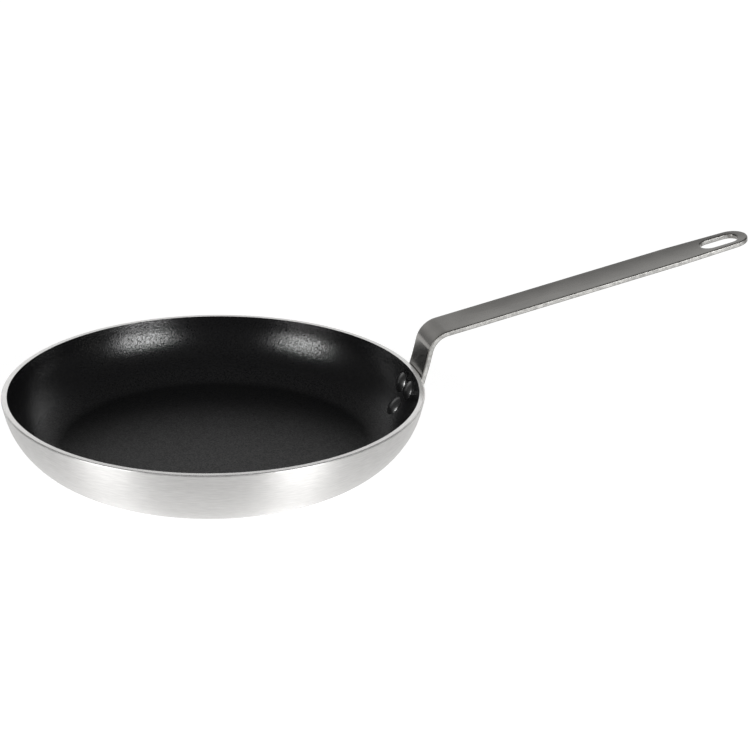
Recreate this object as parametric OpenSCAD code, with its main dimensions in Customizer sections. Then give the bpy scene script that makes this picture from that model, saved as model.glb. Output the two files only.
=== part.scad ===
// Omelette pan: a stamped aluminium pan with a black non-stick layer inside, and one bent
// steel strip as its handle. The strip's foot follows the outside of the wall, where three
// rivets hold it. Millimetres. The origin is the centre of the flat base, +Z is up, and the
// handle points along +X. Left and right are as the cook who holds the handle sees them.

/* [Pan] */
// Diameter over the rim, before its outer edge is rounded
rim_d = 240; // [180:1:360]
// Height of the rim above the surface that the pan stands on
pan_h = 41.5; // [34:0.5:50]
// Distance that the wall runs outwards, from the edge of the flat base to the rim
wall_run = 45.3; // [37:0.1:60]
// Length of the straight flare at the top of the wall, measured along the wall
flare_l = 6.4; // [3:0.1:10]
// Thickness of the aluminium in the wall
wall_t = 3.3; // [2:0.1:5]
// Thickness of the aluminium in the base, which gives the pan its flat floor
base_t = 6.5; // [5.2:0.1:8.5]
// Radius of the rounded outer edge of the rim
rim_edge_r = 0.8; // [0.3:0.1:1.4]
// Thickness of the non-stick layer
coating_t = 0.2; // [0.1:0.05:0.5]

/* [Handle] */
// Width of the steel strip
strip_w = 25; // [20:0.5:32]
// Thickness of the steel strip
strip_t = 3; // [2:0.1:5]
// Length of the post, from the rim to the corner where the two straight runs would meet
post_l = 25; // [18:0.5:45]
// Inside radius of the bend between the post and the grip
bend_r = 12; // [5:0.5:16]
// Length of the grip, from that same corner to the tip
grip_l = 204.5; // [150:0.5:320]
// Angle at which the grip rises towards its tip
grip_rise = 12.5; // [0:0.5:30]
// Width of the strip at its rounded tip
tip_w = 21.5; // [18:0.5:32]
// Length over which the strip narrows towards the tip
taper_l = 48; // [34:1:80]

/* [Hanging slot] */
// Length of the slot over its round ends
slot_l = 23.5; // [18:0.5:32]
// Width of the slot
slot_w = 12.5; // [7:0.5:14]
// Steel left between the slot and the tip
slot_margin = 6; // [4:0.5:12]

/* [Rivets] */
// Diameter of the rivet shanks
rivet_d = 5; // [3:0.1:6.5]
// Distance along the wall from the rim down to the upper pair of rivets
upper_drop = 12.2; // [9:0.1:16]
// Distance along the wall from the upper pair down to the lower rivet
row_gap = 14.3; // [12:0.1:20]
// Distance between the upper pair, across the strip
pair_gap = 14; // [13:0.1:18]
// Diameter of the domed heads inside the pan
head_d = 12; // [8:0.1:13]
// Height of the domed heads
head_h = 2.4; // [1:0.1:3.5]
// Height of the upright edge round the domed heads
head_edge = 0.4; // [0.2:0.1:0.8]
// Diameter of the set ends outside the handle's foot
tail_d = 9; // [7:0.1:10.5]
// Height of the set ends
tail_h = 1.8; // [1:0.1:3]

/* [Clearances] */
// Gap between the wall and the handle's foot, and under the rivets' heads
seat_gap = 0.05; // [0.02:0.01:0.2]
// Gap round a rivet's shank in its hole
shank_gap = 0.05; // [0.02:0.01:0.2]

/* [Hidden] */
$fn = 180;

// Length that a cutting shape runs past what it cuts
over = 1;

// The wall's outline outside is the flat base, one arc and a straight flare. The flat and the
// flare meet at a corner when both are run on: corner_out is its distance from the flat's edge.
rim_r = rim_d / 2;
base_r = rim_r - wall_run;
flare_side = (pow(wall_run + flare_l, 2) + pow(pan_h, 2)) / (2 * (wall_run + flare_l));
corner_out = flare_side - flare_l;
flare_angle = atan2(pan_h, wall_run - corner_out);
corner_r = corner_out / tan(flare_angle / 2);
curve_centre = [base_r, corner_r];

// Offsets from the outside of the wall, positive into the metal and on into the pan
head_seat = wall_t + coating_t + seat_gap;
foot_inside = -seat_gap;
foot_outside = foot_inside - strip_t;
tail_seat = foot_outside - seat_gap;

// How far below the rim the foot's curve stops, how far the flat post reaches down over it,
// and an angle round the pan that holds the whole foot
foot_top = 0.5;
post_overlap = 3;
foot_sweep = 2 * asin(strip_w / base_r);

// The strip's upper face runs straight up from the foot, round the bend and out to the tip
post_out = -inward(flare_angle);
grip_down = -inward(grip_rise);
post_at_rim = [rim_r, pan_h] + seat_gap * post_out;
post_foot = post_at_rim - post_overlap * along(flare_angle);
grip_corner = post_at_rim + post_l * along(flare_angle);
bend_tangent = (bend_r + strip_t) * tan((flare_angle - grip_rise) / 2);
bend_centre = grip_corner - bend_tangent * along(flare_angle) + (bend_r + strip_t) * post_out;
tip = grip_corner + grip_l * along(grip_rise);

// The wall's slope, in degrees above the horizontal, at distance s below the rim
function wall_slope(s) =
    s <= flare_l ? flare_angle : flare_angle - (s - flare_l) / corner_r * 180 / PI;

// The point there on the outside of the wall, as radius and height
function wall_point(s) =
    s <= flare_l
        ? [rim_r, pan_h] - s * along(flare_angle)
        : curve_centre - corner_r * inward(wall_slope(s));

// Unit directions along a slope and square to it, towards the inside of the pan
function along(slope) = [cos(slope), sin(slope)];
function inward(slope) = [-sin(slope), cos(slope)];

// The part of a disc beyond the chord between two angles on its edge, with a lap under the
// chord so that it joins the straight-sided shape that it rounds
module disc_segment(centre, r, from, to) {
    lap = r / 40;
    translate(centre)
        intersection() {
            circle(r);
            rotate((from + to) / 2)
                translate([r * cos((to - from) / 2) - lap, -r])
                    square([r + lap, 2 * r]);
        }
}

// Half section of everything inside the wall's outline when that is moved in by an offset, up
// to a height
module bowl_section(offset_in, top) {
    r = corner_r - offset_in;
    flare_foot = curve_centre - r * inward(flare_angle);
    top_r = flare_foot.x + (top - flare_foot.y) / tan(flare_angle);
    polygon([[0, offset_in], [base_r, offset_in], flare_foot, [top_r, top], [0, top]]);
    disc_segment(curve_centre, r, -90, flare_angle - 90);
}

// Half section of the space inside the pan, less a layer on its wall and floor
module inside_section(layer, top) {
    intersection() {
        bowl_section(wall_t + layer, top);
        translate([0, base_t + layer]) square([rim_r, top]);
    }
}

// Half section of the bare pan, with the rim's outer edge rounded
module wall_section() {
    edge = rim_edge_r / tan(flare_angle / 2);
    top_end = [rim_r - edge, pan_h];
    side_end = [rim_r, pan_h] - edge * along(flare_angle);
    difference() {
        bowl_section(0, pan_h);
        inside_section(0, pan_h + over);
        polygon([top_end, side_end, side_end + [over, 0], [rim_r + over, pan_h + over],
            top_end + [0, over]]);
    }
    disc_segment([rim_r - edge, pan_h - rim_edge_r], rim_edge_r, flare_angle - 90, 90);
}

// Places its children on the outside of the wall, s below the rim and y to the side, with
// their +Z into the pan and their +X up the wall
module on_wall(s, y = 0) {
    p = wall_point(s);
    rotate([0, 0, asin(y / p.x)])
        translate([p.x, 0, p.y])
            rotate([0, -wall_slope(s), 0])
                children();
}

module at_upper_left() {
    on_wall(upper_drop, -pair_gap / 2) children();
}

module at_upper_right() {
    on_wall(upper_drop, pair_gap / 2) children();
}

module at_lower() {
    on_wall(upper_drop + row_gap) children();
}

// The three holes, through the coating, the wall and the handle's foot
module rivet_holes() {
    hole_r = rivet_d / 2 + shank_gap;
    depth = 4 * (wall_t + strip_t);
    at_upper_left() cylinder(r = hole_r, h = depth, center = true);
    at_upper_right() cylinder(r = hole_r, h = depth, center = true);
    at_lower() cylinder(r = hole_r, h = depth, center = true);
}

module pan_body() {
    color([0.84, 0.84, 0.85])
        difference() {
            rotate_extrude() wall_section();
            rivet_holes();
        }
}

module nonstick_coating() {
    color([0.07, 0.07, 0.08])
        difference() {
            rotate_extrude()
                difference() {
                    inside_section(0, pan_h);
                    inside_section(coating_t, pan_h + over);
                }
            rivet_holes();
        }
}

// Side view of everything under the strip's upper face when that face is moved down into the
// steel by an offset, from the post's foot to past the tip
module strip_section(offset_in, past) {
    r = bend_r + strip_t - offset_in;
    foot = post_foot + offset_in * post_out - past * along(flare_angle);
    end = tip + offset_in * grip_down + (past + over) * along(grip_rise);
    reach = 4 * strip_t;
    polygon([foot, bend_centre - r * post_out, bend_centre - r * grip_down, end,
        end + reach * grip_down, foot + reach * post_out]);
    disc_segment(bend_centre, r, 90 + grip_rise, 90 + flare_angle);
}

// Places its children on the grip's upper face at the tip, with their +X towards the pan
module at_tip() {
    translate([tip.x, 0, tip.y])
        rotate([0, -grip_rise, 0])
            mirror([1, 0, 0])
                children();
}

// Plan of the narrowed, rounded end of the strip, with the tip at the origin
module tip_plan() {
    r = tip_w / 2;
    polygon([[r, -r], [taper_l, -strip_w / 2], [taper_l + over, -strip_w / 2],
        [taper_l + over, strip_w / 2], [taper_l, strip_w / 2], [r, r]]);
    disc_segment([r, 0], r, 90, 270);
}

module slot_plan() {
    r = slot_w / 2;
    first = slot_margin + r;
    last = slot_margin + slot_l - r;
    translate([first, -r]) square([last - first, slot_w]);
    disc_segment([first, 0], r, 90, 270);
    disc_segment([last, 0], r, -90, 90);
}

// The strip's foot: curved to the wall, with its lower end rounded about the lower rivet
module foot() {
    reach = 2 * (upper_drop + row_gap);
    intersection() {
        rotate([0, 0, -foot_sweep / 2])
            rotate_extrude(angle = foot_sweep)
                difference() {
                    bowl_section(foot_outside, pan_h - foot_top);
                    bowl_section(foot_inside, pan_h + over);
                }
        at_lower() {
            translate([0, -strip_w / 2, -reach / 2]) cube([reach, strip_w, reach]);
            cylinder(d = strip_w, h = reach, center = true);
        }
    }
}

module handle() {
    depth = 4 * strip_t;
    color([0.46, 0.46, 0.45])
        difference() {
            union() {
                difference() {
                    rotate([90, 0, 0])
                        linear_extrude(strip_w, center = true)
                            difference() {
                                strip_section(0, 0);
                                strip_section(strip_t, over);
                            }
                    at_tip()
                        linear_extrude(depth, center = true)
                            difference() {
                                translate([-3 * over, -strip_w])
                                    square([taper_l + 3 * over, 2 * strip_w]);
                                tip_plan();
                            }
                    at_tip() linear_extrude(depth, center = true) slot_plan();
                }
                foot();
            }
            rivet_holes();
        }
}

// A low dome with a short upright edge, standing on the XY plane and run on below it
module dome(d, h, edge, below) {
    rise = h - edge;
    r = (d * d / 4 + rise * rise) / (2 * rise);
    rotate_extrude()
        intersection() {
            translate([0, h - r]) circle(r);
            translate([0, -below]) square([d / 2, below + h]);
        }
}

// The three parts of a set rivet, each in the frame of its place on the wall
module blank_head() {
    translate([0, 0, head_seat]) dome(head_d, head_h, head_edge, wall_t / 2);
}

module blank_tail() {
    translate([0, 0, tail_seat]) mirror([0, 0, 1]) dome(tail_d, tail_h, head_edge, strip_t / 2);
}

module shank() {
    inner_end = head_seat + head_h / 2;
    outer_end = tail_seat - tail_h / 2;
    translate([0, 0, outer_end]) cylinder(d = rivet_d, h = inner_end - outer_end);
}

// Cuts a domed head to the coated wall and floor that it seats on
module seat_head() {
    intersection() {
        children();
        rotate_extrude() inside_section(coating_t + seat_gap, pan_h + over);
    }
}

// Cuts a set end to the outside of the handle's foot
module seat_tail() {
    difference() {
        children();
        rotate_extrude() bowl_section(tail_seat, pan_h + over);
    }
}

module rivet_upper_left() {
    color([0.12, 0.12, 0.13]) {
        seat_head() at_upper_left() blank_head();
        seat_tail() at_upper_left() blank_tail();
        at_upper_left() shank();
    }
}

module rivet_upper_right() {
    color([0.12, 0.12, 0.13]) {
        seat_head() at_upper_right() blank_head();
        seat_tail() at_upper_right() blank_tail();
        at_upper_right() shank();
    }
}

module rivet_lower() {
    color([0.12, 0.12, 0.13]) {
        seat_head() at_lower() blank_head();
        seat_tail() at_lower() blank_tail();
        at_lower() shank();
    }
}

pan_body();
nonstick_coating();
handle();
rivet_upper_left();
rivet_upper_right();
rivet_lower();
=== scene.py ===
# %% [markdown]
# # An omelette pan in a small photo studio
# The pan is a real kitchen tool of six pieces: a turned aluminium body, a black non-stick
# layer, one bent strip of steel and three rivets. This file builds each piece as a mesh at its
# real size, gives it its finish, and photographs it on a pale floor.
# Every step has a few words first and then a short cell of code. Lengths are in metres, the
# pan stands on z = 0 with its centre at the origin, and the handle points along +X.

# %% Load the frame
import math

import bmesh
import bpy
from mathutils import Matrix, Vector


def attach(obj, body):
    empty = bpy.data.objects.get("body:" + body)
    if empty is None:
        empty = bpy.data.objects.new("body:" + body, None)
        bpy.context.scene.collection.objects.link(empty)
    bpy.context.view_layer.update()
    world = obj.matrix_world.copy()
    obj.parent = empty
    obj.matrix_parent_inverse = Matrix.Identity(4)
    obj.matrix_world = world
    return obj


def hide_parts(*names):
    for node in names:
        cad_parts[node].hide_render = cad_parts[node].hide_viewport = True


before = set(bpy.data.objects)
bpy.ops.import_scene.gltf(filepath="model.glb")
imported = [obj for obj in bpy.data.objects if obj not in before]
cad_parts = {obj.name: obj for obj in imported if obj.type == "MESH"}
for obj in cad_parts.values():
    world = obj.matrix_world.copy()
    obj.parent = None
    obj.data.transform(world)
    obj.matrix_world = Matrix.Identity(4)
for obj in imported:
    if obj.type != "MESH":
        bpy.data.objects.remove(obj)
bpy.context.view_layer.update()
scene = bpy.context.scene
print("CAD nodes:", sorted(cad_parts))

# %% [markdown]
# ## The driving sizes
# The construction fixes how large everything is, so these are the same real sizes, written
# once. The wall runs outwards by wall_run from the flat base to the rim: first one arc, then a
# short straight flare. All other sizes of the pan follow from these.

# %% Sizes of the pan
MM = 0.001
rim_r = 120 * MM
pan_h = 41.5 * MM
wall_run = 45.3 * MM
flare_l = 6.4 * MM
wall_t = 3.3 * MM
base_t = 6.5 * MM
coating_t = 0.2 * MM
rim_edge_r = 0.8 * MM
same_place = 0.001 * MM
seat_gap = 0.05 * MM
print(f"pan {2 * rim_r / MM:.0f} mm over the rim and {pan_h / MM:.1f} mm high")

# %% [markdown]
# ## The handle and the rivets
# The handle is a strip of stock steel, so its width and thickness are stock sizes. It is bent
# once, above the rim. The post is what stands over the rim before the bend, and the grip rises
# gently from there. The rivets are set by their drop below the rim, measured down the wall.

# %% Sizes of the handle and its rivets
strip_w = 25 * MM
strip_t = 3 * MM
strip_edge_r = 0.8 * MM
post_l = 25 * MM
bend_r = 12 * MM
grip_l = 204.5 * MM
grip_rise = math.radians(12.5)
tip_w = 21.5 * MM
taper_l = 48 * MM
slot_l = 23.5 * MM
slot_w = 12.5 * MM
slot_margin = 6 * MM
upper_drop = 12.2 * MM
row_gap = 14.3 * MM
pair_gap = 14 * MM
rivet_d = 5 * MM
head_d = 12 * MM
head_h = 2.4 * MM
head_edge = 0.4 * MM
tail_d = 9 * MM
tail_h = 1.8 * MM
print(f"strip {strip_w / MM:.0f} by {strip_t / MM:.0f} mm, grip {grip_l / MM:.1f} mm long")

# %% [markdown]
# ## The outline of the wall
# A presser would draw the wall as a flat, an arc and a tangent line, so the outline is worked
# out in the same way. The flat and the flare, run on, meet at one corner. The arc touches both
# lines, so it is as far from that corner along the one as along the other, and this fixes its
# radius and the slope of the flare.

# %% Directions, and the wall's outline
def along(slope):
    """Unit direction up a slope, as radius and height."""
    return Vector((math.cos(slope), math.sin(slope)))


def inward(slope):
    """Unit direction square to a slope, towards the inside of the pan."""
    return Vector((-math.sin(slope), math.cos(slope)))


base_r = rim_r - wall_run
flare_side = ((wall_run + flare_l) ** 2 + pan_h**2) / (2 * (wall_run + flare_l))
corner_out = flare_side - flare_l
flare_angle = math.atan2(pan_h, wall_run - corner_out)
corner_r = corner_out / math.tan(flare_angle / 2)
curve_centre = Vector((base_r, corner_r))
rim_corner = Vector((rim_r, pan_h))
print(f"flare {math.degrees(flare_angle):.1f} degrees, corner radius {corner_r / MM:.1f} mm")

# %% [markdown]
# ### Places on the wall
# The handle and the rivets sit on the outside of the wall, and both are placed by how far down
# from the rim they are. So two small functions give the slope and the point at any such drop.

# %% The wall's slope and points
def wall_slope(down):
    """Slope of the outside of the wall at a distance below the rim."""
    return flare_angle - max(0, down - flare_l) / corner_r


def wall_point(down):
    """The point there, as radius and height."""
    if down <= flare_l:
        return rim_corner - down * along(flare_angle)
    return curve_centre - corner_r * inward(wall_slope(down))


print("upper rivets at radius and height", [round(c / MM, 1) for c in wall_point(upper_drop)], "mm")

# %% [markdown]
# ## Outlines made of lines and arcs
# A lathe needs only half a section. It is drawn with two tools: straight runs with a point
# every few millimetres, and arcs with a point every few degrees. Smooth shading needs those
# extra points, because it blends the light between neighbouring points.

# %% Lines and arcs
line_spacing = 2 * MM
arc_step = math.radians(3)


def line(start, end, spacing=line_spacing):
    """Points from start to end, both included."""
    count = max(1, math.ceil((end - start).length / spacing))
    return [start.lerp(end, i / count) for i in range(count + 1)]


def arc(centre, radius, start, end, step=arc_step):
    """Points on an arc between two angles, both ends included."""
    count = max(2, math.ceil(abs(end - start) / step))
    angles = [start + (end - start) * i / count for i in range(count + 1)]
    return [centre + radius * Vector((math.cos(a), math.sin(a))) for a in angles]


def chain(*runs):
    """Joins runs of points into one, leaving out the points that two runs share."""
    points = []
    for run in runs:
        for point in run:
            if not points or (point - points[-1]).length > same_place:
                points.append(point)
    return points


print("a quarter circle has", len(arc(rim_corner, rim_edge_r, 0, math.pi / 2)), "points")

# %% [markdown]
# ## The inside of the pan
# The base is twice as thick as the wall, so it spreads the heat of the hob. Its flat floor meets
# the curve of the wall in a crease that shows as a ring. A cutter leaves no knife-sharp
# crease, so a small blend sits in it: a circle that touches the floor and the wall's arc.

# %% Section of the inside
crease_r = 14 * MM
wall_end = flare_angle - math.pi / 2
flat_spacing = 4 * MM
wall_step = math.radians(2)


def inside_outline(depth):
    """From the axis over the floor and up the wall to the rim, at a depth over the metal."""
    radius = corner_r - wall_t - depth
    floor_z = base_t + depth
    blend_r = crease_r - depth
    drop = corner_r - floor_z - blend_r
    across = math.sqrt((radius - blend_r) ** 2 - drop**2)
    blend_centre = Vector((base_r + across, floor_z + blend_r))
    blend_end = math.atan2(-drop, across)
    flare_foot = curve_centre - radius * inward(flare_angle)
    rim = flare_foot + (pan_h - flare_foot.y) / math.sin(flare_angle) * along(flare_angle)
    return chain(
        line(Vector((0, floor_z)), Vector((blend_centre.x, floor_z)), flat_spacing),
        arc(blend_centre, blend_r, -math.pi / 2, blend_end),
        arc(curve_centre, radius, blend_end, wall_end, wall_step),
        line(flare_foot, rim),
    )


print(f"{2 * inside_outline(coating_t)[-1].x / MM:.1f} mm across inside the coated rim")

# %% [markdown]
# ## One lathe for every round piece
# The body, the coating and the rivets are all turned, so they share one geometry node tree. It
# takes a section drawn as a row of points and lays a grid over it: each column of the grid
# goes to one point of the section, and each row is turned a little further round the axis.
# A grid is simpler than a swept curve here, because nothing can twist, and merging the points
# that coincide closes both the seam and the poles. Two helpers keep such trees short.

# %% Helpers that add nodes
def node(tree, kind, inputs=None, **settings):
    """Adds a node, and fills its inputs with plain values or with the outputs of other nodes."""
    new = tree.nodes.new(kind)
    for name, value in settings.items():
        setattr(new, name, value)
    for key, value in (inputs or {}).items():
        if isinstance(value, bpy.types.NodeSocket):
            tree.links.new(value, new.inputs[key])
        else:
            new.inputs[key].default_value = value
    return new


def maths(tree, operation, *values):
    """The output of a maths node with these inputs, in order."""
    return node(tree, "ShaderNodeMath", dict(enumerate(values)), operation=operation).outputs["Value"]


# %% [markdown]
# ### Reading the section
# The section is the geometry that comes in. Sample Index looks up the position of one of its
# points by number, and gives its radius, which is kept in X, and its height, which is in Z.

# %% A point of the section
def section_point(tree, section, number):
    """Radius and height of the section's point with this number."""
    sample = node(tree, "GeometryNodeSampleIndex", data_type="FLOAT_VECTOR", domain="POINT")
    tree.links.new(section, sample.inputs["Geometry"])
    tree.links.new(node(tree, "GeometryNodeInputPosition").outputs[0], sample.inputs["Value"])
    tree.links.new(number, sample.inputs["Index"])
    place = node(tree, "ShaderNodeSeparateXYZ", {0: sample.outputs["Value"]}).outputs
    return place["X"], place["Z"]


# %% [markdown]
# ### The node tree
# The number of a grid point says which column and row it is in. The column picks the point of
# the section that it takes its radius and height from, and the row gives the angle it is turned
# by. The number of segments and the material stay open as inputs, so one tree serves all pieces.

# %% The lathe
def lathe_tree():
    tree = bpy.data.node_groups.new("turned_on_a_lathe", "GeometryNodeTree")
    for name, kind in (("Section", "Geometry"), ("Segments", "Int"), ("Material", "Material")):
        tree.interface.new_socket(name, in_out="INPUT", socket_type="NodeSocket" + kind)
    tree.interface.new_socket("Mesh", in_out="OUTPUT", socket_type="NodeSocketGeometry")
    given = node(tree, "NodeGroupInput").outputs
    size = node(tree, "GeometryNodeAttributeDomainSize", {"Geometry": given["Section"]})
    rows = maths(tree, "ADD", given["Segments"], 1.0)
    grid = node(
        tree, "GeometryNodeMeshGrid", {"Vertices X": size.outputs["Point Count"], "Vertices Y": rows}
    )
    index = node(tree, "GeometryNodeInputIndex").outputs["Index"]
    column = maths(tree, "FLOOR", maths(tree, "DIVIDE", index, rows))
    row = maths(tree, "SUBTRACT", index, maths(tree, "MULTIPLY", column, rows))
    turn = maths(tree, "MULTIPLY", maths(tree, "DIVIDE", row, given["Segments"]), math.tau)
    radius, height = section_point(tree, given["Section"], column)
    x = maths(tree, "MULTIPLY", radius, maths(tree, "COSINE", turn))
    y = maths(tree, "MULTIPLY", radius, maths(tree, "SINE", turn))
    turned = node(tree, "ShaderNodeCombineXYZ", {"X": x, "Y": y, "Z": height})
    laid = node(
        tree,
        "GeometryNodeSetPosition",
        {"Geometry": grid.outputs["Mesh"], "Position": turned.outputs[0]},
    )
    merged = node(tree, "GeometryNodeMergeByDistance", {"Geometry": laid.outputs[0]})
    merged.inputs["Distance"].default_value = same_place
    smooth = node(tree, "GeometryNodeSetShadeSmooth", {"Geometry": merged.outputs[0]})
    real = node(tree, "GeometryNodeRealizeInstances", {"Geometry": smooth.outputs[0]})
    finished = node(
        tree, "GeometryNodeSetMaterial", {"Geometry": real.outputs[0], "Material": given["Material"]}
    )
    node(tree, "NodeGroupOutput", {"Mesh": finished.outputs[0]})
    return tree


lathe = lathe_tree()
print(lathe.name, "has", len(lathe.nodes), "nodes")

# %% [markdown]
# ## From modifiers to a plain mesh
# A live modifier is good while a size is still being tried, but the finished piece should be an
# ordinary mesh that anyone can open. So what the modifiers make is copied back as the object's
# own mesh. A closed mesh has a volume and no open edges, and each piece reports both.

# %% Pieces and their measures
def add_piece(name, mesh):
    piece = bpy.data.objects.new(name, mesh)
    scene.collection.objects.link(piece)
    return piece


def make_plain(piece):
    """Swaps a piece's mesh for what its modifiers make of it, and takes the modifiers off."""
    depsgraph = bpy.context.evaluated_depsgraph_get()
    mesh = bpy.data.meshes.new_from_object(piece.evaluated_get(depsgraph))
    piece.modifiers.clear()
    piece.data = mesh


def report(piece):
    """Prints a piece's measures. Its volume comes out negative if its faces point inwards."""
    work = bmesh.new()
    work.from_mesh(piece.data)
    volume = work.calc_volume(signed=True) / MM**3
    open_edges = sum(not edge.is_manifold for edge in work.edges)
    work.free()
    print(f"{piece.name}: {len(piece.data.polygons)} faces, {volume:.0f} mm3, open edges {open_edges}")


# %% [markdown]
# ## Turning a section
# The section becomes an object of bare edges, and the lathe becomes its modifier with its inputs
# filled in. Each input is found by its identifier, because two inputs may share a name. Edges
# sharper than corner_angle stay crisp, and all others are shaded smooth.

# %% Turn a section into a piece
corner_angle = math.radians(35)


def turned_piece(name, outline, material, segments):
    """A closed piece from the half section that starts and ends on the axis."""
    edges = [(i, i + 1) for i in range(len(outline) - 1)]
    section = bpy.data.meshes.new(name)
    section.from_pydata([(p.x, 0, p.y) for p in outline], edges, [])
    piece = add_piece(name, section)
    modifier = piece.modifiers.new("lathe", "NODES")
    modifier.node_group = lathe
    values = {"Segments": segments, "Material": material}
    for socket in lathe.interface.items_tree:
        if socket.name in values:
            modifier[socket.identifier] = values[socket.name]
    make_plain(piece)
    piece.data.set_sharp_from_angle(angle=corner_angle)
    report(piece)
    return piece


print(f"edges over {math.degrees(corner_angle):.0f} degrees stay crisp")

# %% [markdown]
# ## Finishes
# A finish is a shader whose numbers vary a little over the surface. Every pattern here starts
# from Object coordinates, which are metres on the piece itself, so a grain keeps its real size.
# A number that never varies sits on the shader, where every renderer can read it.

# %% A new material
def new_material(name, colour, metallic, roughness):
    """A material with its tree and its main shader."""
    material = bpy.data.materials.new(name)
    material.use_nodes = True
    tree = material.node_tree
    shader = tree.nodes["Principled BSDF"]
    shader.inputs["Base Color"].default_value = (*colour, 1)
    shader.inputs["Metallic"].default_value = metallic
    shader.inputs["Roughness"].default_value = roughness
    return material, tree, shader


def link(tree, output, shader, name):
    tree.links.new(output, shader.inputs[name])


def object_place(tree):
    return node(tree, "ShaderNodeTexCoord").outputs["Object"]


def vector(tree, x, y, z):
    return node(tree, "ShaderNodeCombineXYZ", {"X": x, "Y": y, "Z": z}).outputs[0]


# %% [markdown]
# ### Noise and ramps
# Noise gives a finish its grain. A ramp then turns the noise, or a height, into the range of
# roughness or colour that the real surface has. Noise seldom leaves the middle of its range, so
# the ramp for noise starts from that middle.

# %% Noise, ramps, relief and shade
noise_low = 0.3
noise_high = 0.7


def noise(tree, place, scale, detail=2.0, roughness=0.5):
    """Noise from 0 to 1 with a number of grains per metre."""
    inputs = {"Vector": place, "Scale": scale, "Detail": detail, "Roughness": roughness}
    return node(tree, "ShaderNodeTexNoise", inputs).outputs["Fac"]


def ramp(tree, value, start, end, at_start, at_end, **settings):
    """A value read off a ramp: at_start up to start, and at_end from end on."""
    inputs = {"Value": value, "From Min": start, "From Max": end, "To Min": at_start, "To Max": at_end}
    return node(tree, "ShaderNodeMapRange", inputs, **settings).outputs["Result"]


def spread(tree, value, low, high):
    """Stretches the middle of a noise over a range of values."""
    return ramp(tree, value, noise_low, noise_high, low, high)


def scaled(tree, colour, factor):
    """A colour made darker or lighter by a factor."""
    inputs = {0: colour, "Scale": factor}
    return node(tree, "ShaderNodeVectorMath", inputs, operation="SCALE").outputs["Vector"]


def relief(tree, height, depth, normal=None):
    """Bump whose full height is a depth in metres."""
    inputs = {"Height": height, "Strength": 1.0, "Distance": depth}
    if normal:
        inputs["Normal"] = normal
    return node(tree, "ShaderNodeBump", inputs).outputs["Normal"]


print("noise is read from", noise_low, "to", noise_high)

# %% [markdown]
# ## Brushed aluminium
# The outside is brushed while the pan spins, so its scratches run round it. They are noise in
# lathe terms: the direction away from the axis, and the way along the section. The noise is long
# round the pan and short along the section. Lathe terms fail on the axis itself, so the radius
# is kept a little over zero there.

# %% Lines that run round the axis
least_radius = 0.1 * MM


def lathe_place(tree):
    """The direction away from the axis, the way along the section, and the height."""
    place = node(tree, "ShaderNodeSeparateXYZ", {0: object_place(tree)}).outputs
    x, y, z = (place[axis] for axis in "XYZ")
    squares = maths(tree, "ADD", maths(tree, "MULTIPLY", x, x), maths(tree, "MULTIPLY", y, y))
    radius = maths(tree, "MAXIMUM", maths(tree, "SQRT", squares), least_radius)
    out_x = maths(tree, "DIVIDE", x, radius)
    out_y = maths(tree, "DIVIDE", y, radius)
    return out_x, out_y, maths(tree, "ADD", radius, z), z


def lines_round(tree, out_x, out_y, section, around, across, detail):
    """Noise with so many grains to a radian round the axis, and to a metre of the section."""
    stretched = vector(
        tree,
        maths(tree, "MULTIPLY", out_x, around),
        maths(tree, "MULTIPLY", out_y, around),
        maths(tree, "MULTIPLY", section, across),
    )
    return noise(tree, stretched, 1.0, detail)


print(f"at the axis the radius is kept at {least_radius / MM:.1f} mm")

# %% [markdown]
# ### The direction of the gloss
# Scratches spread a reflection across themselves, up and down the wall, and keep it narrow along
# themselves. That is anisotropy. Its direction comes from the piece: the tangent runs round the
# axis, and a quarter turn on the shader points the spread across it. The rim is cut last with one
# smooth tool, so it is smoother, and its colour is painted lighter there as a painted highlight.
# Its corner holds a trace of polishing dust, which scatters part of the light, and so the lamps
# draw no hard white line along it.

# %% The aluminium
brushed_colour = (0.69, 0.683, 0.673)
brushed_roughness = 0.46
brushed_varies = 0.03
brushed_spread = 0.9
quarter_turn = 0.25
scratch_depth = 0.006 * MM
fine_lines = {"around": 26.0, "across": 3600.0, "detail": 3.0}
streak_lines = {"around": 18.0, "across": 1500.0, "detail": 2.0}
streak_shade = (0.88, 1.01)
rim_cut_from = 0.35 * MM
rim_cut_full = 0.10 * MM
rim_smoother = 0.28
# How much lighter the rim's colour is painted: a painted highlight, not a different metal.
rim_painted_highlight = 0.42
dust_from = 0.9 * MM
dust_full = 0.5 * MM
dust_share = 0.25


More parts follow.
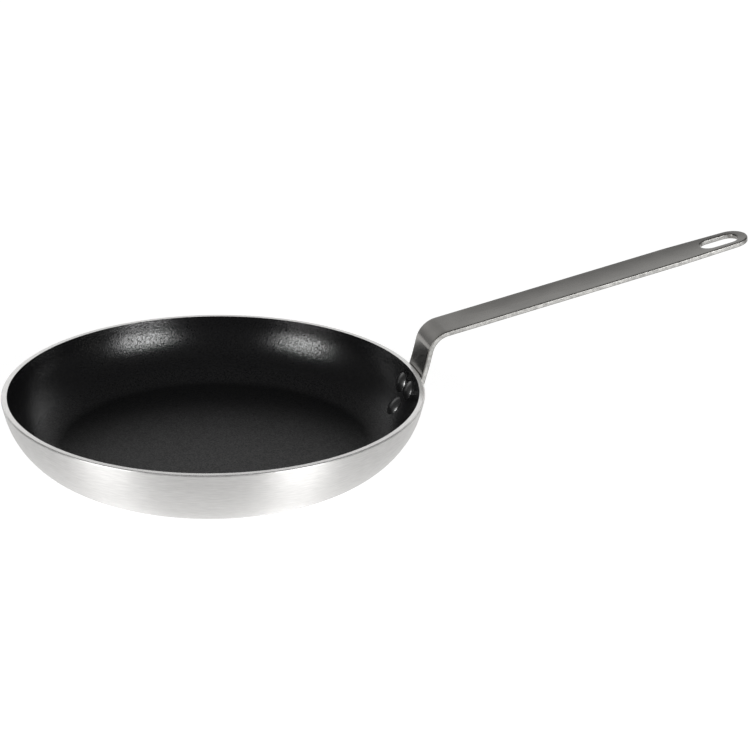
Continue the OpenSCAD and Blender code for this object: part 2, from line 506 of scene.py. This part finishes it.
def brushed_aluminium():
    material, tree, shader = new_material("brushed_aluminium", brushed_colour, 1, brushed_roughness)
    shader.inputs["Anisotropic"].default_value = brushed_spread
    shader.inputs["Anisotropic Rotation"].default_value = quarter_turn
    out_x, out_y, section, height = lathe_place(tree)
    tangent = vector(tree, maths(tree, "MULTIPLY", out_y, -1.0), out_x, 0.0)
    link(tree, tangent, shader, "Tangent")
    fine = lines_round(tree, out_x, out_y, section, **fine_lines)
    streaks = lines_round(tree, out_x, out_y, section, **streak_lines)
    cut_rim_and_painted_highlight = ramp(tree, height, pan_h - rim_cut_from, pan_h - rim_cut_full, 0.0, 1.0)
    dusty = ramp(tree, height, pan_h - dust_from, pan_h - dust_full, 0.0, dust_share)
    link(tree, maths(tree, "SUBTRACT", 1.0, dusty), shader, "Metallic")
    low, high = brushed_roughness - brushed_varies, brushed_roughness + brushed_varies
    rough = spread(tree, fine, low, high)
    smoother = maths(tree, "MULTIPLY", cut_rim_and_painted_highlight, rim_smoother)
    link(tree, maths(tree, "SUBTRACT", rough, smoother), shader, "Roughness")
    brushed = scaled(tree, brushed_colour, spread(tree, streaks, *streak_shade))
    # The cut rim's colour is painted lighter here: a painted highlight.
    painted_highlight = maths(tree, "MULTIPLY_ADD", cut_rim_and_painted_highlight, rim_painted_highlight, 1.0)
    link(tree, scaled(tree, brushed, painted_highlight), shader, "Base Color")
    link(tree, relief(tree, fine, scratch_depth), shader, "Normal")
    return material


aluminium = brushed_aluminium()
print(aluminium.name, "has", len(aluminium.node_tree.nodes), "nodes")

# %% [markdown]
# ## The non-stick layer
# The layer is sprayed on and baked, so it is slightly dimpled, like the skin of an orange, and
# it holds fine flakes that make a highlight sparkle. The dimples are soft relief about a
# millimetre apart. The flakes are a finer noise that makes the gloss stronger in one spot and
# weaker in the next, with fine cells in the relief on top. The floor is rubbed by food and
# turners, so it is duller than the wall: the roughness grows towards the floor. The rivets wear
# a black of the same kind with a stronger gloss and less relief, so one function makes both.

# %% The coating
black = (0.0040, 0.0040, 0.0044)
rubbed_full = 8 * MM
rubbed_none = 16 * MM
gloss_varies = 0.04
dimples_per_m = 700.0
flakes_per_m = 1250.0
cells_per_m = 1100.0


def sprayed_black(name, ior, roughness, dimple, grain, sparkle, rubbed=0.0):
    """Black paint. Dimple and grain are depths, sparkle is how far the gloss varies, and rubbed
    is how much is added to the roughness on the floor."""
    material, tree, shader = new_material(name, black, 0, roughness)
    shader.inputs["IOR"].default_value = ior
    place = object_place(tree)
    flakes = noise(tree, place, flakes_per_m, detail=1.5, roughness=0.7)
    glint = scaled(tree, (1.0, 1.0, 1.0), spread(tree, flakes, 1 - sparkle, 1 + sparkle))
    link(tree, glint, shader, "Specular Tint")
    rough = spread(tree, flakes, roughness + gloss_varies, roughness - gloss_varies)
    height = node(tree, "ShaderNodeSeparateXYZ", {0: place}).outputs["Z"]
    worn = ramp(tree, height, rubbed_full, rubbed_none, rubbed, 0.0)
    link(tree, maths(tree, "ADD", rough, worn), shader, "Roughness")
    skin = relief(tree, noise(tree, place, dimples_per_m), dimple)
    cells = node(tree, "ShaderNodeTexVoronoi", {"Vector": place, "Scale": cells_per_m})
    link(tree, relief(tree, cells.outputs["Distance"], grain, skin), shader, "Normal")
    return material


coating = sprayed_black(
    "nonstick_black",
    ior=1.48,
    roughness=0.22,
    dimple=0.02 * MM,
    grain=0.05 * MM,
    sparkle=0.9,
    rubbed=0.20,
)
enamel = sprayed_black(
    "rivet_black", ior=2.3, roughness=0.27, dimple=0.006 * MM, grain=0.003 * MM, sparkle=0.3
)
print(coating.name, "has", len(coating.node_tree.nodes), "nodes")

# %% [markdown]
# ## Dark steel with bright edges
# The strip keeps the dark grey skin that it was rolled with, half glossy, with tiny pits and no
# direction. Its edges and its slot were cut and then tumbled with stones, so they are bare and
# bright. The mesh says which is which: each of its points carries a number, 0 on the two faces
# and 1 on the cut edges, and the material blends its two finishes by that number. The tumbling
# also leaves the rounded part of each edge duller than the skin.

# %% The steel
skin_colour = (0.255, 0.248, 0.235)
bare_colour = (0.45, 0.445, 0.43)
skin_roughness = 0.20
skin_varies = 0.02
pit_depth = 0.003 * MM
bare_from = 0.84
bare_to = 0.96
tumbled_from = 0.1
tumbled_to = 0.4
tumbled = 0.32
clouds_per_m = 60.0
pits_per_m = 1100.0
scars_per_m = 500.0
cloud_shade = (0.88, 1.08)
scar_shade = (0.60, 1.15)


def rolled_steel():
    material, tree, shader = new_material("rolled_steel", skin_colour, 1, skin_roughness)
    place = object_place(tree)
    clouds = noise(tree, place, clouds_per_m, detail=3.0)
    pits = noise(tree, place, pits_per_m, detail=3.0, roughness=0.6)
    scars = noise(tree, place, scars_per_m, detail=3.0, roughness=0.6)
    edge = node(tree, "ShaderNodeAttribute", attribute_name="cut_edge").outputs["Fac"]
    both = node(tree, "ShaderNodeMix", data_type="RGBA")
    tree.links.new(ramp(tree, edge, bare_from, bare_to, 0.0, 1.0), both.inputs["Factor"])
    skin = scaled(tree, skin_colour, spread(tree, clouds, *cloud_shade))
    tree.links.new(skin, both.inputs["A"])
    bare = scaled(tree, bare_colour, spread(tree, scars, *scar_shade))
    tree.links.new(bare, both.inputs["B"])
    link(tree, both.outputs["Result"], shader, "Base Color")
    smooth = spread(tree, pits, skin_roughness - skin_varies, skin_roughness + skin_varies)
    rolled = ramp(tree, edge, tumbled_from, tumbled_to, 0.0, tumbled)
    link(tree, maths(tree, "ADD", rolled, smooth), shader, "Roughness")
    link(tree, relief(tree, pits, pit_depth), shader, "Normal")
    return material


steel = rolled_steel()
print(steel.name, "has", len(steel.node_tree.nodes), "nodes")

# %% [markdown]
# ## The body
# A press draws the pan from one thick disc of aluminium, and a lathe then trims the rim flat and
# takes off its sharp outer corner. The section goes from the middle of the floor up the inside,
# over the rim, down the outside and back under the base. It is turned as one closed solid.

# %% The pan's body
pan_segments = 288
rim_spacing = 0.4 * MM
rim_edge_step = math.radians(12)
flare_spacing = 1 * MM


def body_outline():
    edge = rim_edge_r / math.tan(flare_angle / 2)
    rim_top = rim_corner - Vector((edge, 0))
    rim_side = rim_corner - edge * along(flare_angle)
    edge_centre = rim_top - Vector((0, rim_edge_r))
    inside = inside_outline(0)
    return chain(
        inside,
        line(inside[-1], rim_top, rim_spacing),
        arc(edge_centre, rim_edge_r, math.pi / 2, wall_end, rim_edge_step),
        line(rim_side, wall_point(flare_l), flare_spacing),
        arc(curve_centre, corner_r, wall_end, -math.pi / 2, wall_step),
        line(Vector((base_r, 0)), Vector((0, 0)), flat_spacing),
    )


pan = turned_piece("pan_shell", body_outline(), aluminium, pan_segments)

# %% [markdown]
# ## The layer as a piece
# The coating is a piece of its own, because it is made of something else and ends at the rim,
# where the lathe cuts it off clean. Its section runs up the coated face and back down the
# metal's face, so the layer is closed and fills exactly the gap between the two.

# %% The layer on the metal
coated_face = inside_outline(coating_t)
metal_face = inside_outline(0)
metal_face.reverse()
layer = turned_piece("nonstick_layer", chain(coated_face, metal_face), coating, pan_segments)

# %% [markdown]
# ## The handle
# A shop cuts the handle as a flat blank, tumbles its edges round, and bends it. The model goes
# the same way. The blank is drawn flat, with u along it and w across it, and with rings of
# points that roll over each edge. Then every point is carried to its place on the bent path.

# %% The path of the strip's upper face
bend_side = (bend_r + strip_t) * math.tan((flare_angle - grip_rise) / 2)
post_straight = post_l - bend_side
bend_length = (bend_r + strip_t) * (flare_angle - grip_rise)
bend_end = post_straight + bend_length
blank_end = bend_end + grip_l - bend_side
blank_start = -(upper_drop + row_gap + strip_w / 2)
post_foot = rim_corner - seat_gap * inward(flare_angle)


def strip_path(u):
    """Point, and slope there, of the upper face at a distance u up from the rim."""
    if u <= 0:
        slope = wall_slope(-u)
        return wall_point(-u) - seat_gap * inward(slope), slope
    if u <= post_straight:
        return post_foot + u * along(flare_angle), flare_angle
    bend_start = post_foot + post_straight * along(flare_angle)
    centre = bend_start - (bend_r + strip_t) * inward(flare_angle)
    turned = min(u - post_straight, bend_length) / (bend_r + strip_t)
    slope = flare_angle - turned
    point = centre + (bend_r + strip_t) * inward(slope)
    return point + max(0, u - bend_end) * along(slope), slope


print(f"the flat blank is {(blank_end - blank_start) / MM:.1f} mm long")

# %% [markdown]
# ### From flat to bent
# The strip leans on the wall at its foot, so it is wrapped to the wall's round shape there, and
# the wrap fades out over the rim. Past the bend the grip is very slightly hollow across, as a
# pressed strip often is, and this gives it its soft band of light.

# %% The place of each point on the bent strip
wrap_low = -8 * MM
wrap_high = 8 * MM
dish = 0.28 * MM


def smooth_step(value, low, high):
    """Rises from 0 at low to 1 at high, with a soft start and end."""
    t = min(1, max(0, (value - low) / (high - low)))
    return t * t * (3 - 2 * t)


def bent(u, w, depth):
    """Where a point of the flat blank lies once the strip is bent and wrapped to the wall."""
    point, slope = strip_path(u)
    hollow = dish * (1 - (2 * w / strip_w) ** 2) * smooth_step(u, bend_end, bend_end + strip_w)
    point = point - (depth + hollow) * inward(slope)
    wrapped = math.sqrt(point.x**2 - w**2)
    wrap = 1 - smooth_step(u, wrap_low, wrap_high)
    return Vector((point.x + wrap * (wrapped - point.x), w, point.y))


print("tip at", [round(c / MM, 1) for c in bent(blank_end, 0, 0)], "mm")

# %% [markdown]
# ### The blank
# The foot end of the blank is a half circle, and so is the tip, which is a little narrower: the
# strip tapers over its last part. The hanging slot is two half circles joined by straights. Both
# outlines take an inset, so that the same lines serve for the rounded edges.

# %% Outlines of the blank and its slot
quarter = math.pi / 2
end_step = math.radians(5)


def blank_outline(inset):
    """The blank's outline, moved in by an inset."""
    foot_r = strip_w / 2 - inset
    tip_r = tip_w / 2 - inset
    foot_centre = Vector((blank_start + strip_w / 2, 0))
    tip_centre = Vector((blank_end - tip_w / 2, 0))
    taper = Vector((blank_end - taper_l, foot_r))
    return chain(
        arc(foot_centre, foot_r, 3 * quarter, quarter, end_step),
        [taper],
        arc(tip_centre, tip_r, quarter, -quarter, end_step),
        [Vector((taper.x, -foot_r))],
    )


def slot_outline(inset):
    """The slot's outline, moved out into the steel by an inset."""
    radius = slot_w / 2 + inset
    near = Vector((blank_end - slot_margin - slot_l + slot_w / 2, 0))
    far = Vector((blank_end - slot_margin - slot_w / 2, 0))
    return chain(
        arc(near, radius, quarter, 3 * quarter, end_step),
        arc(far, radius, -quarter, quarter, end_step),
    )


print("points round the blank and its slot:", len(blank_outline(0)), len(slot_outline(0)))

# %% [markdown]
# ### Rounded edges
# Each edge is a quarter circle over, a short straight and a quarter circle under, as rings of
# points that follow the outline. The rings also carry the number that says how far round the
# edge they are. The ends of the strip stay dark, so the number fades out there.

# %% The blank's rounded edges
edge_steps = 5
dark_within = 0.6
bright_beyond = 0.95


def rolled_edge():
    """Pairs of inset and depth that go round the edge, from the upper face to the lower."""
    angles = [quarter * i / edge_steps for i in range(edge_steps + 1)]
    over = [(strip_edge_r * (1 - math.sin(a)), strip_edge_r * (1 - math.cos(a))) for a in angles]
    under = [(inset, strip_t - depth) for inset, depth in reversed(over)]
    return over + under


def edge_wall(blank, outline):
    """Rings of points round one outline, skinned with quads. Gives the first and last ring."""
    share = blank.verts.layers.float["cut_edge"]
    half = min(tip_w / 2, max(p.y for p in outline(0)))
    rings = []
    for inset, depth in rolled_edge():
        ring = [blank.verts.new((p.x, p.y, -depth)) for p in outline(inset)]
        for corner in ring:
            side = smooth_step(abs(corner.co.y), dark_within * half, bright_beyond * half)
            corner[share] = side * (1 - inset / strip_edge_r)
        rings.append(ring)
    for upper, lower in zip(rings, rings[1:]):
        for i, corner in enumerate(upper):
            j = (i + 1) % len(upper)
            blank.faces.new((corner, upper[j], lower[j], lower[i]))
    return rings[0], rings[-1]


print("rings round each edge:", len(rolled_edge()))

# %% [markdown]
# ### The two flat faces
# Each face lies between the outer outline and the slot. A fill between the two rings of edges
# leaves the slot open, which a single polygon could not do.

# %% The flat blank
def flat_blank():
    blank = bmesh.new()
    blank.verts.layers.float.new("cut_edge")
    loops = [edge_wall(blank, blank_outline), edge_wall(blank, slot_outline)]
    for side in range(2):
        ring_edges = []
        for loop in loops:
            ring = loop[side]
            pairs = zip(ring, ring[1:] + ring[:1])
            ring_edges += [blank.edges.get(pair) for pair in pairs]
        bmesh.ops.triangle_fill(blank, edges=ring_edges, use_beauty=True)
    return blank


blank = flat_blank()
print("the flat blank has", len(blank.faces), "faces")

# %% [markdown]
# ### Bending
# A flat face can't bend, so the blank is first cut across into short lengths: fine ones in the
# bend and where the foot wraps round the wall, and long ones in the straight grip. A few cuts
# run along it too, for the wrap and the hollow.

# %% Cut the blank
end_gap = 0.3 * MM
foot_cut = 1.5 * MM
bend_cut = 0.7 * MM
grip_cut = 8 * MM
width_cut = 3 * MM
width_cut_to = 9 * MM
length_way = Vector((1, 0, 0))
width_way = Vector((0, 1, 0))


def cut_across(blank, way, start, end, spacing):
    """Adds rows of points square to a direction, evenly from start to end, to bend at."""
    count = math.ceil((end - start) / spacing)
    for i in range(count + 1):
        place = start + (end - start) * i / count
        geometry = blank.verts[:] + blank.edges[:] + blank.faces[:]
        bmesh.ops.bisect_plane(
            blank, geom=geometry, dist=same_place, plane_co=way * place, plane_no=way
        )


cut_across(blank, length_way, blank_start + end_gap, post_straight, foot_cut)
cut_across(blank, length_way, post_straight, bend_end, bend_cut)
cut_across(blank, length_way, bend_end, blank_end - end_gap, grip_cut)
cut_across(blank, width_way, -width_cut_to, width_cut_to, width_cut)
print("the cut blank has", len(blank.faces), "faces")

# %% [markdown]
# ### The bent strip
# Each point is carried to its place along the path, and the blank becomes the handle. Smooth
# shading would blend the light from the flats into the narrow rounded edges. The Weighted
# Normal modifier lets the large faces win, so the flats look flat.

# %% Bend and finish the handle
flats_weight = 100


def even_shading(piece):
    """Lets large faces set the shading, so that flats look flat beside their rounded edges."""
    modifier = piece.modifiers.new("even_shading", "WEIGHTED_NORMAL")
    modifier.weight = flats_weight
    make_plain(piece)


def bent_handle(blank):
    for vert in blank.verts:
        vert.co = bent(vert.co.x, vert.co.y, -vert.co.z)
    bmesh.ops.remove_doubles(blank, verts=blank.verts, dist=same_place)
    bmesh.ops.recalc_face_normals(blank, faces=blank.faces)
    for face in blank.faces:
        face.smooth = True
    mesh = bpy.data.meshes.new("bent_strip")
    blank.to_mesh(mesh)
    blank.free()
    mesh.materials.append(steel)
    return add_piece("bent_strip", mesh)


strip = bent_handle(blank)
even_shading(strip)
report(strip)

# %% [markdown]
# ## The rivets
# Each rivet has a domed head inside the pan, a shank through the wall and the strip, and a
# smaller set end outside. The head is a low dome with a soft shoulder and a short upright edge,
# and the set end has the same outline, smaller.

# %% The dome of a rivet
shoulder_r = 0.6 * MM
shoulder_step = math.radians(10)


def dome_outline(diameter, height, edge):
    """From the top of a low dome down its short upright edge to the plane that it stands on."""
    rise = height - edge
    radius = (diameter**2 / 4 + rise**2) / (2 * rise)
    centre = Vector((0, height - radius))
    across = diameter / 2 - shoulder_r
    up = math.sqrt((radius - shoulder_r) ** 2 - across**2)
    side = math.atan2(up, across)
    shoulder = centre + Vector((across, up))
    return chain(
        arc(centre, radius, quarter, side),
        arc(shoulder, shoulder_r, side, 0, shoulder_step),
        [Vector((diameter / 2, 0))],
    )


print("points over half a head:", len(dome_outline(head_d, head_h, head_edge)))

# %% [markdown]
# ### The whole rivet
# The shank joins the two domes. The set end is pressed against the strip, so it is sunk a little
# to touch all round where the strip curves.

# %% The section of a rivet
def rivet_outline():
    head_seat = wall_t + coating_t + seat_gap
    tail_seat = -(strip_t + 2 * seat_gap)
    sink = tail_d**2 / (8 * corner_r)
    shank_top = Vector((rivet_d / 2, head_seat))
    shank_end = Vector((rivet_d / 2, tail_seat + sink))
    head = [p + Vector((0, head_seat)) for p in dome_outline(head_d, head_h, head_edge)]
    tail = [Vector((p.x, tail_seat - p.y)) for p in dome_outline(tail_d, tail_h, head_edge)]
    tail.reverse()
    return chain(
        head,
        line(head[-1], shank_top),
        line(shank_top, shank_end),
        line(shank_end, tail[0] + Vector((0, sink))),
        tail,
    )


print("points from end to end of a rivet:", len(rivet_outline()))

# %% [markdown]
# ### Setting the rivets
# Each rivet is turned on the same lathe as the pan and then stood on the wall: tilted to the
# wall's slope, moved out to the wall, and turned round the pan's axis to its side.

# %% The three rivets
rivet_segments = 64


def on_wall(down, aside):
    """The matrix that stands a piece on the outside of the wall, with +Z into the pan."""
    point = wall_point(down)
    turn = Matrix.Rotation(math.asin(aside / point.x), 4, "Z")
    lean = Matrix.Rotation(-wall_slope(down), 4, "Y")
    return turn @ Matrix.Translation((point.x, 0, point.y)) @ lean


rivet_places = {
    "upper_left": (upper_drop, -pair_gap / 2),
    "upper_right": (upper_drop, pair_gap / 2),
    "lower": (upper_drop + row_gap, 0),
}
rivets = {}
for place, (down, aside) in rivet_places.items():
    rivet = turned_piece("set_rivet_" + place, rivet_outline(), enamel, rivet_segments)
    rivet.data.transform(on_wall(down, aside))
    even_shading(rivet)
    rivets[place] = rivet

# %% [markdown]
# ## The camera
# The camera stands in front of the pan, a bit more than a metre away, and looks down on it by
# about 22 degrees. Its angle, its small roll and its place were found from the outlines of the
# pan and the handle in the picture. It is given as the place of the pan seen from the camera.

# %% Camera
lens = 96
sensor = 36
near_limit = 0.01
camera_pitch = math.radians(21.96)
camera_roll = math.radians(1.12)
handle_turn = math.radians(16.66)
pan_in_view = Vector((-91.99, 45.52, 1153.5)) * MM


def camera_matrix():
    """Rows of the turn give the picture's right, down and forward directions in the pan's frame."""
    tilt = Matrix(
        (
            (1, 0, 0),
            (0, -math.sin(camera_pitch), -math.cos(camera_pitch)),
            (0, math.cos(camera_pitch), -math.sin(camera_pitch)),
        )
    )
    view = Matrix.Rotation(camera_roll, 3, "Z") @ tilt @ Matrix.Rotation(handle_turn, 3, "Z")
    right, down, forward = view
    turn = Matrix((right, -down, -forward)).transposed()
    return Matrix.Translation(-(view.transposed() @ pan_in_view)) @ turn.to_4x4()


camera = bpy.data.objects.new("camera", bpy.data.cameras.new("camera"))
camera.data.lens = lens
camera.data.sensor_width = sensor
camera.data.clip_start = near_limit
camera.matrix_world = camera_matrix()
scene.collection.objects.link(camera)
scene.camera = camera
print("camera at", [round(c, 3) for c in camera.matrix_world.translation])

# %% [markdown]
# ## Colour
# The Standard view shows a colour as it is written, which is what a catalogue picture needs.

# %% Colour management
scene.view_settings.view_transform = "Standard"
print("view:", scene.view_settings.view_transform)

# %% [markdown]
# ## The studio
# The pan stands on a pale floor in front of a white sweep. The room behind the camera is dark,
# and so is the ceiling, which is what makes black look black and steel look grey. The white
# of the background belongs to the floor and the world as the camera and reflections see them,
# so the pan mirrors it but isn't lit by it. Two softboxes light the pan from the front. The
# Light Path node tells the kinds of ray apart.

# %% Rays that see the background
def mirror_rays(tree):
    """1 for a glossy or transmission ray and 0 for others, with the outputs for every kind of ray."""
    rays = node(tree, "ShaderNodeLightPath").outputs
    return maths(tree, "MAXIMUM", rays["Is Glossy Ray"], rays["Is Transmission Ray"]), rays


# %% [markdown]
# ### The floor
# The floor is one large flat sheet. A matt surface catches the pan's soft shadow, and a glow that
# only the camera and reflections see makes it white. The glow is lower near the pan, where the
# softboxes add their own light, so that the whole floor comes out as one white.

# %% The floor
floor_size = 8.0
floor_near = 0.88
floor_far = 1.0
glow_from = 0.3
glow_to = 1.2
floor_drop = 0.05 * MM
floor_colour = (0.35, 0.35, 0.35, 1)
white = (1, 1, 1, 1)
softly = {"interpolation_type": "SMOOTHSTEP"}


def floor_material():
    material = bpy.data.materials.new("floor_white")
    material.use_nodes = True
    tree = material.node_tree
    tree.nodes.clear()
    matt = node(tree, "ShaderNodeBsdfDiffuse", {"Color": floor_colour})
    distance = node(tree, "ShaderNodeVectorMath", {0: object_place(tree)}, operation="LENGTH")
    away = distance.outputs["Value"]
    glow_here = ramp(tree, away, glow_from, glow_to, floor_near, floor_far, **softly)
    mirrored, rays = mirror_rays(tree)
    seen = maths(tree, "MAXIMUM", rays["Is Camera Ray"], mirrored)
    strength = maths(tree, "MULTIPLY", seen, glow_here)
    glow = node(tree, "ShaderNodeEmission", {"Color": white, "Strength": strength})
    both = node(tree, "ShaderNodeAddShader", {0: matt.outputs[0], 1: glow.outputs[0]})
    node(tree, "ShaderNodeOutputMaterial", {"Surface": both.outputs[0]})
    return material


def make_floor():
    half = floor_size / 2
    corners = ((-half, -half), (half, -half), (half, half), (-half, half))
    mesh = bpy.data.meshes.new("studio_floor")
    mesh.from_pydata([(x, y, -floor_drop) for x, y in corners], [], [(0, 1, 2, 3)])
    mesh.materials.append(floor_material())
    floor = add_piece("studio_floor", mesh)
    return floor


print(make_floor().name, "is", floor_size, "m wide")

# %% [markdown]
# ### The sweep
# Reflections see a white sweep behind the pan, brightest part-way up, and a dark room elsewhere.
# The sweep is worked out from the direction of a ray alone: how high it points, and how straight
# it points away from the camera. The limits are heights and distances on a ball of radius 1.

# %% The sweep
view_azimuth = math.radians(-90) - handle_turn
room_dark = 0.10
sweep_glow = 0.9
sweep_low = math.sin(math.radians(18))
sweep_high = math.sin(math.radians(42))
sweep_foot = math.sin(math.radians(16))
foot_share = 0.35
sweep_full = -0.9
sweep_none = -0.4


def room_mirrored(tree):
    """How bright the room is in each direction, as reflections see it."""
    direction = node(tree, "ShaderNodeTexCoord").outputs["Generated"]
    height = node(tree, "ShaderNodeSeparateXYZ", {0: direction}).outputs["Z"]
    front = (math.cos(view_azimuth), math.sin(view_azimuth), 0.0)
    ahead = node(tree, "ShaderNodeVectorMath", {0: direction, 1: front}, operation="DOT_PRODUCT")
    behind = ramp(tree, ahead.outputs["Value"], sweep_full, sweep_none, 1.0, 0.0, **softly)
    above = ramp(tree, height, sweep_low, sweep_high, 1.0, 0.0, **softly)
    foot = ramp(tree, height, 0.0, sweep_foot, foot_share, 1.0)
    sweep = maths(tree, "MULTIPLY", maths(tree, "MULTIPLY", above, foot), behind)
    return maths(tree, "MULTIPLY_ADD", sweep, sweep_glow - room_dark, room_dark)


print(f"the sweep is brightest up to {math.degrees(math.asin(sweep_low)):.0f} degrees")

# %% [markdown]
# ### The room
# Three kinds of ray each find their own room. For the camera everything beyond the floor is
# white. Reflections see the sweep. Rays that only gather light find an even, dim fill.

# %% The room
room_fill = 0.12


def background(tree, strength):
    inputs = {"Color": white, "Strength": strength}
    return node(tree, "ShaderNodeBackground", inputs).outputs[0]


def make_room():
    world = bpy.data.worlds.new("studio")
    world.use_nodes = True
    tree = world.node_tree
    tree.nodes.clear()
    mirrored, rays = mirror_rays(tree)
    fill = background(tree, room_fill)
    glossy = background(tree, room_mirrored(tree))
    lit = node(tree, "ShaderNodeMixShader", {0: mirrored, 1: fill, 2: glossy}).outputs[0]
    shown = {0: rays["Is Camera Ray"], 1: lit, 2: background(tree, 1.0)}
    seen = node(tree, "ShaderNodeMixShader", shown)
    node(tree, "ShaderNodeOutputWorld", {"Surface": seen.outputs[0]})
    return world


scene.world = make_room()
print("world:", scene.world.name)

# %% [markdown]
# ### The softboxes
# Two large softboxes stand to the left and right of the camera. Each makes one soft highlight on
# the far inner wall and one light band on the brushed outside.

# %% The softboxes
lamp_away = 1.8
lamp_width = 0.82
lamp_height = 0.74
softboxes = {
    "softbox_right": {"aside": math.radians(48), "rise": math.radians(18.5), "watts": 21.5},
    "softbox_left": {"aside": math.radians(-52), "rise": math.radians(22), "watts": 19},
}


def softbox(name, aside, rise, watts):
    """An area lamp that looks at the pan, placed by its angle to the right of the camera."""
    data = bpy.data.lights.new(name, "AREA")
    data.shape = "RECTANGLE"
    data.size = lamp_width
    data.size_y = lamp_height
    data.energy = watts
    lamp = bpy.data.objects.new(name, data)
    azimuth = view_azimuth + aside
    level = math.cos(rise)
    direction = Vector((level * math.cos(azimuth), level * math.sin(azimuth), math.sin(rise)))
    lamp.location = direction * lamp_away
    lamp.rotation_euler = direction.to_track_quat("Z", "Y").to_euler()
    scene.collection.objects.link(lamp)
    return lamp


print("lamps:", [softbox(name, **setting).name for name, setting in softboxes.items()])

# %% [markdown]
# ## Joining the frame
# Nothing on the pan moves, so every piece rides on the root. Each one stands for one solid of the
# construction, and the construction's own mesh of that solid is hidden.

# %% Join the pieces to the frame
standing_for = {
    pan: ["pan_body"],
    layer: ["nonstick_coating"],
    strip: ["handle"],
    rivets["upper_left"]: ["rivet_upper_left"],
    rivets["upper_right"]: ["rivet_upper_right"],
    rivets["lower"]: ["rivet_lower"],
}
for piece, nodes in standing_for.items():
    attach(piece, "root")
    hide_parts(*nodes)
